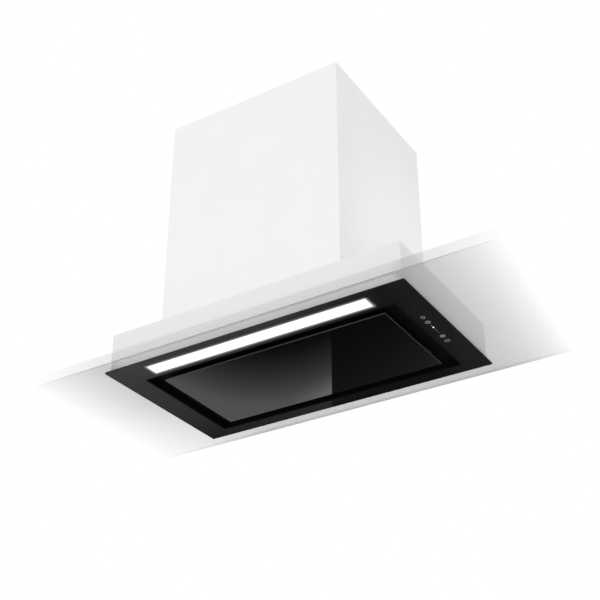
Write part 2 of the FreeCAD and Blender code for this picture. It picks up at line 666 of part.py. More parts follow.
# bolt places that the posts, the roof and the bracket share
foot_bolt_x = d.post_x + d.foot_bolt
foot_bolt_y = post_y - d.foot_bolt
foot_spacing = (2 * foot_bolt_x, 2 * foot_bolt_y)
rim_bolt_x = d.post_x + d.rim_bolt
cable_x = d.bracket_hole / 2 + d.cable_land
chimney_spacing = (d.chimney_width - 2 * d.sheet - d.foot_flange, body_depth / 2)
collar_spacing = (throat + d.collar_flange, scroll_width + d.collar_flange)


def hanging_frame():
    ceiling_bracket()
    for y_name, side_y in (("front", -1), ("rear", 1)):
        for x_name, side_x in (("left", -1), ("right", 1)):
            hanging_post("post_%s_%s" % (y_name, x_name), side_x, side_y)


# ---- blower ----
def air_box():
    item = new_body("air_box", z=body_top)
    pad_block(item, box_width, box_depth, box_rise, corner=d.body_corner)
    inner = (box_width - 2 * d.galvanised, box_depth - 2 * d.galvanised)
    cut_block(item, *inner, box_rise - d.galvanised)
    cut_block(item, throat, scroll_width, box_rise)
    flat = new_sketch(item)
    add_hole_pattern(flat, d.screw_radius + d.hole_play, *collar_spacing)
    cut(item, flat, box_rise)


def scroll_wire(grow, y):
    """The scroll's outline in X and Z: a steady spiral, the throat and its tongue, all moved out by grow."""
    start = number(d.impeller_radius + d.tongue_gap) + grow
    inner = number(throat_inner) - grow
    first = math.acos(inner / start)
    growth = number(d.scroll_growth)
    sweep = 2 * math.pi - math.radians(TONGUE_ANGLE)
    points = []
    for step in range(SPIRAL_STEPS + 1):
        angle = first + (2 * math.pi - first) * step / SPIRAL_STEPS
        share = max(0.0, (angle - math.radians(TONGUE_ANGLE)) / sweep)
        radius = start + growth * share
        points.append(Vector(radius * math.cos(angle), y, radius * math.sin(angle)))
    spiral = Part.BSplineCurve()
    spiral.interpolate(points)
    top = number(d.throat_lift)
    corners = [points[-1], Vector(points[-1].x, y, top), Vector(points[0].x, y, top), points[0]]
    lines = [Part.makeLine(a, b) for a, b in zip(corners, corners[1:])]
    return Part.Wire([spiral.toShape()] + lines)


def blower():
    wall = number(d.scroll_wall)
    half = number(scroll_width) / 2
    centre = (scroll_x, 0, scroll_z)
    shell = Part.Face(scroll_wire(wall, -half)).extrude(Vector(0, 2 * half + wall, 0))
    shell = shell.cut(Part.Face(scroll_wire(0.0, -half)).extrude(Vector(0, 2 * half, 0)))
    back_hole = cylinder(d.hub_radius + d.scroll_wall, 2 * wall, (0, half - wall / 2, 0), (0, 1, 0))
    solid_part("scroll_housing", shell.cut([back_hole] + motor_screw_holes(half, wall)), *centre)

    cover = Part.Face(scroll_wire(wall, -half - wall)).extrude(Vector(0, wall, 0))
    mouth = number(d.inlet_radius)
    cover = cover.cut(cylinder(mouth + wall, wall, (0, -half - wall, 0), (0, 1, 0)))
    lead = number(d.scroll_side) - wall
    lip = [(0, lead), (wall, lead), (wall, 0), (2 * wall, -wall), (4 * wall, -2 * wall),
           (3 * wall, -3 * wall), (0, -wall)]
    bell = revolved([(mouth + out, -half + deep, 0) for out, deep in lip], (0, 0, 0), (0, 1, 0))
    solid_part("scroll_cover", cover.fuse(bell).removeSplitter(), *centre)


def motor_screw_places(y):
    reach = number(d.motor_screw_reach)
    return [(reach * math.cos(turn), y, reach * math.sin(turn))
            for turn in (math.radians(90 + 120 * step) for step in range(3))]


def motor_screw_holes(y, depth):
    hole = d.screw_radius + d.hole_play
    return [cylinder(hole, depth * 2, spot, (0, 1, 0)) for spot in motor_screw_places(y - depth / 2)]


def impeller():
    """Forward-curved wheel: back disc with its hub, a crown of blades and the ring that ties them."""
    radius = number(d.impeller_radius)
    width = number(d.impeller_width)
    depth, thick = number(d.blade_depth), number(d.blade)
    inner = radius - depth
    back = width / 2
    disc = cylinder(radius, thick, (0, back - thick, 0), (0, 1, 0))
    hub = cylinder(d.hub_radius, d.hub_length, (0, back, 0), (0, -1, 0))
    ring = cylinder(radius, 2 * thick, (0, -back, 0), (0, 1, 0))
    ring = ring.cut(cylinder(inner + depth / 3, 2 * thick, (0, -back, 0), (0, 1, 0)))
    count = int(round(number(d.blade_count)))
    blades = []
    for step in range(count):
        one = blade(inner, radius, thick, width)
        blades.append(one.rotated(Vector(), Vector(0, 1, 0), 360.0 * step / count))
    wheel = disc.fuse([hub, ring] + blades).removeSplitter()
    wheel = wheel.cut(cylinder(d.shaft_radius, width * 2, (0, -width, 0), (0, 1, 0)))
    solid_part("impeller", wheel, scroll_x, 0, scroll_z)


def blade(inner, outer, thick, width):
    """One blade between the disc and the ring, its section a ring sector that hooks forward at the rim."""
    low = -width / 2 + thick
    hook = math.radians(BLADE_HOOK)
    root = Vector(inner, low, 0)
    tip = Vector((outer - thick) * math.cos(hook), low, (outer - thick) * math.sin(hook))
    chord = tip - root
    radius = chord.Length * BLADE_CURL
    side = Vector(-chord.z, 0, chord.x).normalize()
    centre = (root + tip) * 0.5 + side * math.sqrt(radius ** 2 - (chord.Length / 2) ** 2)

    def at(point, inset):
        way = (point - centre).normalize()
        return centre + way * (radius - inset)

    crown = (root + tip) * 0.5 - side
    front = Part.Arc(root, at(crown, 0.0), tip).toShape()
    rear = Part.Arc(at(tip, thick), at(crown, thick), at(root, thick)).toShape()
    ends = [Part.makeLine(tip, at(tip, thick)), Part.makeLine(at(root, thick), root)]
    section = Part.Wire([front, ends[0], rear, ends[1]])
    return Part.Face(section).extrude(Vector(0, width - 1.5 * thick, 0))


def motor():
    """Motor with stepped end bells and cooling ribs; its shaft turns in a plain bore."""
    radius, length = number(d.motor_radius), number(d.motor_length)
    step = length / 8
    bore = number(d.shaft_radius + d.shaft_play)
    waist, shoulder = radius * MOTOR_WAIST, radius * MOTOR_SHOULDER
    outline = [(bore, 0, 0), (radius, 0, 0), (radius, step / 2, 0), (waist, step, 0),
               (waist, length - 2 * step, 0), (shoulder, length - step, 0),
               (radius * MOTOR_NOSE, length, 0), (bore, length, 0)]
    shape = revolved(outline, (0, 0, 0), (0, 1, 0))
    ribs = []
    rib_depth = 2 * (waist - shoulder)
    for turn in range(MOTOR_RIBS):
        rib = Part.makeBox(rib_depth, length - 3 * step, step / 3, Vector(shoulder, step / 2, -step / 6))
        ribs.append(rib.rotated(Vector(), Vector(0, 1, 0), 360.0 * turn / MOTOR_RIBS))
    shape = shape.fuse(ribs).removeSplitter().cut(motor_screw_bores())
    solid_part("blower_motor", shape, scroll_x, motor_y, scroll_z)

    shaft = cylinder(d.shaft_radius, d.shaft_length, (0, d.motor_length / 2, 0), (0, -1, 0))
    solid_part("motor_shaft", shaft, scroll_x, motor_y, scroll_z)


def motor_screw_bores():
    depth = number(d.motor_length) / 8
    return [cylinder(d.screw_radius, depth / 2, spot, (0, 1, 0)) for spot in motor_screw_places(0)]


def polar(radius, angle, z=0.0):
    return Vector(radius * math.cos(math.radians(angle)), radius * math.sin(math.radians(angle)), z)


def rounded_wire(width, depth, radius, z):
    """A rectangle of four lines and four quarter arcs, begun at the middle of a corner's run."""
    right, top = width / 2 - radius, depth / 2 - radius
    edges = []
    corners = [(right, top, 0), (-right, top, 90), (-right, -top, 180), (right, -top, 270)]
    for (x, y, turn), (next_x, next_y, _) in zip(corners, corners[1:] + corners[:1]):
        at = [Vector(x, y, z) + polar(radius, turn + step) for step in (0, 45, 90)]
        end = Vector(next_x, next_y, z) + polar(radius, turn + 90)
        edges.append(Part.Arc(*at).toShape())
        edges.append(Part.makeLine(at[2], end))
    return Part.Wire(edges)


def circle_wire(radius, width, depth, corner, z):
    """A circle split where the lines and arcs of a rounded rectangle meet it."""
    right, top = width / 2 - corner, depth / 2 - corner
    wide = math.degrees(math.atan2(top, width / 2))
    high = math.degrees(math.atan2(depth / 2, right))
    angles = [wide, high, 180 - high, 180 - wide, 180 + wide, 180 + high, 360 - high, 360 - wide,
              360 + wide]
    edges = []
    for start, end in zip(angles, angles[1:]):
        at = [polar(radius, angle, z) for angle in (start, (start + end) / 2, end)]
        edges.append(Part.Arc(*at).toShape())
    return Part.Wire(edges)


def reducer(grow, radius):
    corner = number(d.throat_corner) + grow
    width, depth = number(throat) + 2 * grow, number(scroll_width) + 2 * grow
    rise = number(d.reducer_rise)
    ends = [rounded_wire(width, depth, corner, 0.0), circle_wire(radius, width, depth, corner, rise)]
    return Part.makeLoft(ends, True, True)


def outlet_collar():
    """Flange, square-to-round reducer and the duct's spigot, with the flaps' seat and bar inside."""
    wall, outer = number(d.collar_wall), number(d.collar_radius)
    inner = outer - wall
    rise, length = number(d.reducer_rise), number(d.collar_length)
    reach = 2 * number(d.collar_flange)
    width, depth = number(throat) + reach, number(scroll_width) + reach
    flange = Part.makeBox(width, depth, wall, Vector(-width / 2, -depth / 2, 0))
    spigot = cylinder(outer, length, (0, 0, rise), (0, 0, 1))
    stop = cylinder(outer + 2 * wall, wall, (0, 0, rise), (0, 0, 1))
    shape = flange.fuse([reducer(wall, outer), spigot, stop])
    shape = shape.cut([reducer(0.0, inner), cylinder(inner, length, (0, 0, rise), (0, 0, 1))])
    level = number(d.flap_gap) + rise
    half_flap = number(d.flap) / 2
    seat_top = level - half_flap - number(d.fit)
    seat_low = seat_top - wall
    seat = cylinder(inner + wall / 2, wall, (0, 0, seat_low), (0, 0, 1))
    seat = seat.cut(cylinder(inner - 3 * wall, wall, (0, 0, seat_low), (0, 0, 1)))
    half_bar, knuckle = number(d.rod_radius), number(d.knuckle_radius)
    low_corner = Vector(-inner - wall / 2, -half_bar, level - knuckle)
    bar = Part.makeBox(2 * inner + wall, 2 * half_bar, 2 * knuckle, low_corner)
    shape = shape.fuse([seat, bar])
    rods = [cylinder(d.rod_radius, 2 * outer, (-outer, side * number(rod_y), level), (1, 0, 0))
            for side in (-1, 1)]
    hole = d.screw_radius + d.hole_play
    holes = [cylinder(hole, wall, (x, y, 0), (0, 0, 1)) for x, y in collar_screw_places()]
    solid_part("outlet_collar", shape.cut(rods + holes).removeSplitter(), 0, 0, box_top)


def collar_screw_places():
    x, y = [number(spacing) / 2 for spacing in collar_spacing]
    return [(-x, -y), (x, -y), (x, y), (-x, y)]


def damper():
    """Two half-round flaps that lie on the seat and lift with the air, each on its own rod."""
    inner = number(d.collar_radius - d.collar_wall - d.flap_play)
    half = number(d.flap) / 2
    start = number(d.knuckle_radius)
    bore = cylinder(d.rod_radius + d.shaft_play, 2 * inner, (-inner, 0, 0), (1, 0, 0))
    length = number(d.knuckle_length)
    across = math.sqrt(number(d.collar_radius) ** 2 - number(rod_y) ** 2)
    rod_length = 2 * across - number(d.collar_wall)
    rods = []
    for side, name in ((-1, "damper_flap_front"), (1, "damper_flap_rear")):
        y = side * number(rod_y)
        disc = Part.makeCylinder(inner, 2 * half, Vector(0, -y, -half))
        keep_from = start if side > 0 else -start - inner
        keep = Part.makeBox(2 * inner, inner, 2 * half, Vector(-inner, keep_from, -half))
        leaf = disc.common(keep)
        knuckle = cylinder(start, length, (-length / 2, 0, 0), (1, 0, 0))
        neck_from = 0 if side > 0 else -2 * start
        neck = Part.makeBox(length, 2 * start, 2 * half, Vector(-length / 2, neck_from, -half))
        shape = leaf.fuse([knuckle, neck.common(disc)]).removeSplitter().cut(bore)
        solid_part(name, shape, 0, y, rod_z)
        rods.append(cylinder(d.rod_radius, rod_length, (-rod_length / 2, y, 0), (1, 0, 0)))
    solid_part("damper_rods", Part.makeCompound(rods), 0, 0, rod_z)


# ---- electrics on the casing's roof ----
def control_box():
    wall = d.control_wall
    base = new_body("control_box", y=control_y, z=body_top)
    inner = (d.control_width - 2 * wall, d.control_depth - 2 * wall)
    pad_block(base, d.control_width, d.control_depth, d.control_height, corner=wall)
    cut_block(base, *inner, d.control_height, z=wall)
    flat = new_sketch(base, "YZ_Plane", y=d.control_height / 2, z=-d.control_width / 2)
    add_circle(flat, d.gland_radius)
    cut(base, flat, wall)
    lid = new_body("control_lid", y=control_y, z=body_top + d.control_height)
    pad_block(lid, d.control_width, d.control_depth, wall, corner=wall)
    pad_block(lid, inner[0] - 2 * d.fit, inner[1] - 2 * d.fit, wall + d.fit, z=-wall)
    control_board(inner)


def control_board(inner):
    """Board on two feet, with its transformer, plug and relay."""
    foot = 3 * d.control_wall
    lift = 2 * d.control_wall
    board = new_body("control_board", y=control_y, z=body_top + d.control_wall)
    for side in (-1, 1):
        pad_block(board, foot, foot, lift + d.board, x=side * (inner[0] / 2 - 2 * foot))
    pad_block(board, inner[0] - 2 * lift, inner[1] - 2 * lift, d.board, z=lift)
    spots = ((-2, d.relay_rise), (0, d.plug_rise), (2, d.coil_rise))
    for step, height in spots:
        pad_block(board, d.board_part_width, d.board_part_depth, height, x=step * d.board_part_width, z=lift)


def cable_gland():
    """Threaded gland through the control box's end wall, its bore clear for the supply lead."""
    radius, bore = number(d.gland_radius), number(d.gland_bore)
    wall = number(d.control_wall)
    flange = 2.5 * wall
    tip = 7 * wall
    neck, rim = number(d.gland_dome), number(d.gland_bore) + wall / 2
    body = cylinder(radius, 2 * flange, (-wall - flange / 2, 0, 0), (1, 0, 0))
    nut = hexagon(d.gland_nut, flange).translated(Vector(-flange, 0, 0))
    dome = revolved([(-flange, 0, 0), (-flange, neck, 0), (wall - tip, neck - wall, 0), (-tip, rim, 0),
                     (-tip, 0, 0)], (0, 0, 0), (1, 0, 0))
    lock = hexagon(d.gland_nut, flange / 2).translated(Vector(wall, 0, 0))
    shape = body.fuse([nut, dome, lock]).removeSplitter()
    shape = shape.cut(cylinder(bore, 2 * tip, (-tip, 0, 0), (1, 0, 0)))
    solid_part("cable_gland", shape, -d.control_width / 2, control_y, body_top + d.control_height / 2)


def hexagon(radius, length):
    flat = [polar(number(radius), 60 * step) for step in range(7)]
    corners = [Vector(0, point.x, point.y) for point in flat]
    return Part.Face(Part.makePolygon(corners)).extrude(Vector(length, 0, 0))


def capacitor():
    radius, height, bevel = number(d.capacitor_radius), number(d.capacitor_height), number(d.capacitor_bevel)
    outline = [(0, 0, 0), (radius, 0, 0), (radius, 0, height - bevel), (radius - bevel, 0, height),
               (0, 0, height)]
    can = revolved(outline, (0, 0, 0), (0, 0, 1))
    thick, width, rise = number(d.terminal_thick), number(d.terminal_width), number(d.terminal_rise)
    spread = number(d.terminal_spread)
    blades = [Part.makeBox(thick, width, rise, Vector(x - thick / 2, -width / 2, height))
              for x in (-spread / 2, spread / 2)]
    x = d.control_width / 2 + 1.5 * d.capacitor_radius
    solid_part("motor_capacitor", can.fuse(blades), x, control_y, body_top)


def led_driver():
    item = new_body("led_driver", x=-key_x, z=deck + d.glass + d.sheet)
    pad_block(item, d.driver_width, d.driver_length, d.driver_rise, corner=d.sheet)


# ---- fasteners ----
def small_screws(name, places, along, length=None):
    length = d.screw_length if length is None else length
    screws(name, places, along, d.screw_head, d.screw_radius, length, d.screw_head_rise)


def bolts(name, places, along):
    screws(name, places, along, d.bolt_head, d.bolt_radius, d.bolt_length, d.bolt_head_rise)


def fasteners():
    corners = [(side_x, side_y) for side_x in (-1, 1) for side_y in (-1, 1)]
    foot = body_top + d.post_sheet
    bolts("foot_bolts", [(x * foot_bolt_x, y * foot_bolt_y, foot) for x, y in corners], (0, 0, -1))
    half_x, half_y = [spacing / 2 for spacing in chimney_spacing]
    flange = body_top + d.sheet
    small_screws("chimney_screws", [(x * half_x, y * half_y, flange) for x, y in corners], (0, 0, -1))
    flange = box_top + d.collar_wall
    small_screws("collar_screws", [(x, y, flange) for x, y in collar_screw_places()], (0, 0, -1))

    rim_z = -(d.bracket_rim + d.bracket_sheet) / 2
    carrier = body_depth / 2 - 2 * d.sheet - d.fit
    rivet_z = deck + d.glass + d.rivet_rise
    for name, side in (("front", -1), ("rear", 1)):
        spots = [(x * rim_bolt_x, side * d.bracket_depth / 2, rim_z) for x in (-1, 1)]
        bolts("rim_bolts_" + name, spots, (0, -side, 0))
        spots = [(x * d.rivet_spread / 2, side * carrier, rivet_z) for x in (-1, 1)]
        screws("frame_rivets_" + name, spots, (0, side, 0), d.screw_head, d.screw_radius,
               2 * d.sheet + d.fit, d.rivet_head_rise)

    spots = [(x + scroll_x, scroll_width / 2, z + scroll_z) for x, _, z in motor_screw_places(0)]
    small_screws("motor_screws", spots, (0, 1, 0), d.scroll_wall + d.motor_length / 16)


def build():
    fascia_glass()
    fascia_frame()
    led_lens()
    led_housing()
    led_board()
    led_driver()
    touch_keys()
    recess_surround()
    panel()
    hinges()
    catches()
    grease_filter("left", -filter_x)
    grease_filter("right", filter_x)
    body_shell()
    chimney_cover()
    canopy_tray()
    hanging_frame()
    air_box()
    blower()
    impeller()
    motor()
    outlet_collar()
    damper()
    control_box()
    cable_gland()
    capacitor()
    fasteners()


def check_and_export():
    doc.recompute()
    os.makedirs("parts", exist_ok=True)
    for item in doc.Objects:
        if "Invalid" in item.State or "Error" in item.State:
            raise RuntimeError("%s did not rebuild: %s" % (item.Name, item.State))
    subparts = [item for item in doc.Objects if item.TypeId in ("PartDesign::Body", "Part::Feature")]
    for item in subparts:
        if item.Shape.isNull() or not item.Shape.isValid() or not item.Shape.Solids:
            raise RuntimeError("%s has no sound solid" % item.Label)
    for item in subparts:
        item.Shape.exportStep("parts/%s.step" % item.Label)
        print("%-22s %2d solids %10.1f mm3" % (item.Label, len(item.Shape.Solids), item.Shape.Volume))
    print(len(subparts), "sub-parts")


build()
check_and_export()
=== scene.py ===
"""Looks of the ceiling range hood: materials, touch marks, filter nets, light and camera.

Places and sizes are in metres, with X to the right, Y to the rear and Z up.
"""

import json
import math
from functools import partial

import bmesh
import bpy
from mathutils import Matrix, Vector


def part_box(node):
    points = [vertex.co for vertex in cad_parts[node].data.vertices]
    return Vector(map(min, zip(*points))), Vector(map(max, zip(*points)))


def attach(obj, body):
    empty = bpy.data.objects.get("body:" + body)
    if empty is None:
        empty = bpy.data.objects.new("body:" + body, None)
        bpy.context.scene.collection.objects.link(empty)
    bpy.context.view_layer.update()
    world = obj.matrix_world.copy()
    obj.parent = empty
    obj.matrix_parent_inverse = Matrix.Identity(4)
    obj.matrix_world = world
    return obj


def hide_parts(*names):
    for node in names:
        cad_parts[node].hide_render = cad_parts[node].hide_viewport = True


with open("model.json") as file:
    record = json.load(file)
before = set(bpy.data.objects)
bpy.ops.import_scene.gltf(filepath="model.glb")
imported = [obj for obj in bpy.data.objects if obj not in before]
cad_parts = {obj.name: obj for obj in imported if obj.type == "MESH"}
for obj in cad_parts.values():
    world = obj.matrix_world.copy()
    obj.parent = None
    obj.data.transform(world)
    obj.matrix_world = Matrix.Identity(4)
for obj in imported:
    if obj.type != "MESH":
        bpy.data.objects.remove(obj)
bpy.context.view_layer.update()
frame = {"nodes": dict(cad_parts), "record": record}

CASING_LOW, CASING_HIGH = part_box("body_shell")
TRAY_LOW, TRAY_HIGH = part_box("canopy_tray")
TRAY_SKIN = 0.005
# From the casing to just outside the collar that the tray has round it.
COLLAR_REACH = 0.0064
# Rim of the lens that lies behind the glass.
LENS_FLANGE = 0.005


# ---- node helpers ----
class Nodes:
    """A node tree with short ways to add procedural nodes over one space."""

    def __init__(self, tree, space):
        self.tree = tree
        self.place = self.add("ShaderNodeTexCoord", output=space)

    def plug(self, value, socket):
        """Wires an output to a socket, or sets a number, vector or opaque colour on it."""
        if isinstance(value, bpy.types.NodeSocket):
            self.tree.links.new(value, socket)
        elif socket.type == "RGBA":
            socket.default_value = (*value, 1.0)
        else:
            socket.default_value = value

    def add(self, kind, inputs=(), output=0, **settings):
        """Adds a node with inputs in order, or by key, and returns one of its outputs."""
        node = self.tree.nodes.new(kind)
        for key, value in settings.items():
            setattr(node, key, value)
        pairs = inputs.items() if isinstance(inputs, dict) else enumerate(inputs)
        for key, value in pairs:
            self.plug(value, node.inputs[key])
        return node.outputs[output]

    def math(self, operation, *values):
        return self.add("ShaderNodeMath", values, operation=operation)

    def vector(self, operation, *values, output="Vector"):
        return self.add("ShaderNodeVectorMath", values, output=output, operation=operation)

    def total(self, result, *others):
        for other in others:
            result = self.math("ADD", result, other)
        return result

    def product(self, result, *others):
        for other in others:
            result = self.math("MULTIPLY", result, other)
        return result

    def span(self, value, low, high, start=0.0, end=1.0):
        """Maps low..high of a value to start..end, clamped."""
        return self.add("ShaderNodeMapRange", (value, low, high, start, end))

    def axis(self, index, place=None):
        return self.add("ShaderNodeSeparateXYZ", (place or self.place,), output=index)


class Paint(Nodes):
    """A Principled material over the object's own space."""

    def __init__(self, name, color, roughness, metallic=0.0, ior=1.5):
        self.material = bpy.data.materials.new(name)
        self.material.use_nodes = True
        super().__init__(self.material.node_tree, "Object")
        self.shader = self.tree.nodes["Principled BSDF"]
        self.set("Base Color", color)
        self.set("Roughness", roughness)
        self.set("Metallic", metallic)
        self.set("IOR", ior)

    def set(self, socket, value):
        self.plug(value, self.shader.inputs[socket])

    def noise(self, scale, detail=2.0, place=None):
        inputs = {"Vector": place or self.place, "Scale": scale, "Detail": detail}
        return self.add("ShaderNodeTexNoise", inputs, output="Fac")

    def even(self, noise, start=0.0, end=1.0):
        """Stretches a noise's usual range to start..end."""
        usual_low, usual_high = 0.3, 0.7
        return self.span(noise, usual_low, usual_high, start, end)

    def cells(self, scale, feature="F1", output="Distance", place=None):
        inputs = {"Vector": place or self.place, "Scale": scale}
        return self.add("ShaderNodeTexVoronoi", inputs, output=output, feature=feature)

    def mix(self, factor, first, second):
        """Goes from the first colour to the second as the factor goes from 0 to 1."""
        factor_key, first_key, second_key, result_key = 0, 6, 7, 2
        inputs = {factor_key: factor, first_key: first, second_key: second}
        return self.add("ShaderNodeMix", inputs, output=result_key, data_type="RGBA")

    def tint(self, color, share, factor):
        """Base colour from darker to lighter by a share, as the factor goes from 0 to 1."""
        dark = [c * (1 - share) for c in color]
        light = [min(c * (1 + share), 1.0) for c in color]
        self.set("Base Color", self.mix(factor, dark, light))

    def bump(self, height, depth):
        inputs = {"Distance": depth, "Height": height}
        self.set("Normal", self.add("ShaderNodeBump", inputs, output="Normal"))

    def flatness(self):
        """How far the surface faces up or down, 0 to 1."""
        normal = self.add("ShaderNodeTexCoord", output="Normal")
        return self.math("ABSOLUTE", self.axis(2, normal))


# ---- materials ----
def powder_coat(name, color, roughness=0.42, rear=None):
    """Powder coat: fine orange peel, with faint clouds, or with painted light that shifts it to another
    colour towards the casing's rear.
    """
    peel_depth, roughness_drift = 0.00012, 0.05
    paint = Paint(name, color, roughness)
    grain = paint.noise(620.0)
    paint.set("Roughness", paint.even(grain, roughness - roughness_drift, roughness + roughness_drift))
    paint.bump(grain, peel_depth)
    if rear:
        # Painted light: the colour shifts towards the rear colour along the casing's depth.
        to_rear = paint.span(paint.axis(1), CASING_LOW.y, CASING_HIGH.y)
        paint.set("Base Color", paint.mix(to_rear, color, rear))
    else:
        paint.tint(color, 0.006, paint.even(paint.noise(9.0, 3.0)))
    return paint.material


def metal(name, color, roughness, grain=(6.0, 900.0, 900.0)):
    """Drawn or brushed metal: streaks along one direction, uneven gloss."""
    streak_depth, color_drift = 0.00003, 0.10
    paint = Paint(name, color, roughness, metallic=1.0)
    streaks = paint.noise(1.0, place=paint.vector("MULTIPLY", paint.place, grain))
    paint.tint(color, color_drift, paint.even(streaks))
    paint.set("Roughness", paint.even(streaks, roughness - 0.06, roughness + 0.08))
    paint.bump(streaks, streak_depth)
    return paint.material


def moulded(name, color, roughness, grain=900.0, fleck=0.04, gloss=0.5):
    """Moulded plastic or pressed magnet: fine grain and slight colour drift."""
    grain_depth, cell_edge = 0.00008, 0.6
    paint = Paint(name, color, roughness, ior=1.46)
    paint.set("Specular IOR Level", gloss)
    cells = paint.cells(grain)
    paint.tint(color, fleck, paint.even(paint.noise(60.0, 4.0)))
    paint.set("Roughness", paint.span(cells, 0.0, cell_edge, roughness - 0.08, roughness + 0.06))
    paint.bump(cells, grain_depth)
    return paint.material


def panel_glass():
    """Polished black glass with a lighter ground edge, and a painted highlight on its bevel."""
    black, edge_grey, bevel_highlight_grey = (0.003, 0.003, 0.0035), (0.03, 0.031, 0.032), (0.11, 0.113, 0.116)
    bevel_flatness, ground_roughness = 0.707, 0.45
    paint = Paint("panel_glass", black, 0.02)
    flat = paint.flatness()
    ground = paint.span(flat, 0.8, 0.95, start=1.0, end=0.0)
    off_bevel = paint.math("ABSOLUTE", paint.math("SUBTRACT", flat, bevel_flatness))
    bevel = paint.span(off_bevel, 0.1, 0.3, start=1.0, end=0.0)
    # Painted highlight: the bevel is much lighter than the ground edge.
    paint.set("Base Color", paint.mix(ground, black, paint.mix(bevel, edge_grey, bevel_highlight_grey)))
    smudge = paint.span(paint.noise(5.0, 4.0), 0.45, 0.75, start=0.012, end=0.03)
    paint.set("Roughness", paint.math("MAXIMUM", smudge, paint.product(ground, ground_roughness)))
    return paint.material


def fascia_painted_reflection(paint):
    """Painted reflection, from 0, black, to 1, pale: palest at the front left, with a paler band at the
    light window and a paler margin at the right.
    """
    low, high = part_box("fascia_glass")
    pale_x, band_rear, band_front, band_left, band_full = -0.05, -0.16, -0.20, -0.40, -0.25
    margin_left, margin_full = 0.30, 0.42
    band_gain, margin_painted_reflection = 1.4, 0.28
    across, rearward = paint.axis(0), paint.axis(1)
    # Painted reflection: paler towards the front left, more in the band at the light window, and paler
    # at the right margin.
    front_left = paint.product(paint.span(across, high.x, pale_x), paint.span(rearward, high.y, low.y))
    band = paint.product(paint.span(rearward, band_rear, band_front),
                         paint.span(across, band_left, band_full))
    front_left = paint.product(front_left, paint.span(band, 0.0, 1.0, start=1.0, end=band_gain))
    margin = paint.span(across, margin_left, margin_full, start=0.0, end=margin_painted_reflection)
    cloud = paint.even(paint.noise(3.0, 3.0), 0.95, 1.05)
    return paint.product(paint.math("MAXIMUM", front_left, margin), cloud)


def spill(paint, reach):
    """1 at the edge of the light window, 0 at a reach from it."""
    low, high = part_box("led_lens")
    any_depth = 10.0
    centre = (low + high) / 2
    half = (high - low) / 2 - Vector((LENS_FLANGE, LENS_FLANGE, 0))
    half.z = any_depth
    offset = paint.vector("ABSOLUTE", paint.vector("SUBTRACT", paint.place, centre))
    outside = paint.vector("MAXIMUM", paint.vector("SUBTRACT", offset, half), (0, 0, 0))
    return paint.span(paint.vector("LENGTH", outside, output="Value"), 0.0, reach, start=1.0, end=0.0)


def fascia_glass():
    """Satin black glass whose uneven shade is painted reflection, with a painted glow where the window's
    light spills a little way into it.
    """
    black, pale = (0.002, 0.002, 0.0021), (0.041, 0.041, 0.042)
    spill_reach, spill_strength = 0.012, 0.55
    paint = Paint("fascia_glass", (0.02, 0.02, 0.021), 0.32)
    paint.set("Specular IOR Level", 0.04)
    paint.set("Coat Weight", 0.14)
    paint.set("Base Color", paint.mix(fascia_painted_reflection(paint), black, pale))
    paint.set("Roughness", paint.even(paint.noise(400.0), 0.29, 0.35))
    near = spill(paint, spill_reach)
    paint.set("Emission Color", (1.0, 1.0, 0.98))
    # Painted glow: the glass itself glows near the light window.
    paint.set("Emission Strength", paint.product(near, near, spill_strength))
    return paint.material


def opal_lens():
    """Opal acrylic, evenly lit from behind."""
    paint = Paint("opal_lens", (0.93, 0.93, 0.92), 0.35, ior=1.49)
    paint.set("Emission Color", (1.0, 1.0, 0.985))
    paint.set("Emission Strength", paint.even(paint.noise(14.0), 1.12, 1.22))
    return paint.material


def tray_fade(paint, across, rearward):
    """1 in the tray's middle, 0 at both its ends."""
    left_clear, right_full, right_curve = -0.67, 0.445, 0.88
    left_full = paint.span(rearward, -0.02, 0.25, start=-0.43, end=-0.28)
    right_clear = paint.span(rearward, -0.28, 0.29, start=0.71, end=0.655)
    left = paint.span(across, left_clear, left_full)
    right = paint.span(across, right_clear, right_full)
    return paint.product(left, paint.math("POWER", right, right_curve))


def tray_density(paint, across, rearward):
    """What one face of the skin keeps back of the light, with painted shade and light: more at the right
    and along the front edge, less below the casing.
    """
    left, right, front = CASING_LOW.x + 0.01, CASING_HIGH.x - 0.01, TRAY_LOW.y
    left_level, right_level, wing_level, rear_share = 0.32, 0.39, 0.06, 0.9
    below_share, band_share, edge_gain = 0.36, 0.90, 1.3
    # Painted shade and light: denser to the right and along the front edge, thinner below the casing.
    level = paint.total(paint.span(across, left, right, left_level, right_level),
                        paint.span(across, right + 0.03, right + 0.13, end=wing_level))
    to_rear = paint.span(rearward, -0.1, 0.29, start=1.0, end=rear_share)
    below_casing = paint.product(paint.span(across, left, left + 0.06),
                                 paint.span(across, right + 0.025, right),
                                 paint.span(rearward, 0.15, -0.15))
    below = paint.span(rearward, front + 0.014, front + 0.007, below_share, band_share)
    edge = paint.span(rearward, front + 0.009, front + 0.004, start=1.0, end=edge_gain)
    return paint.product(level, to_rear, paint.span(below_casing, 0.0, 1.0, 1.0, below), edge)


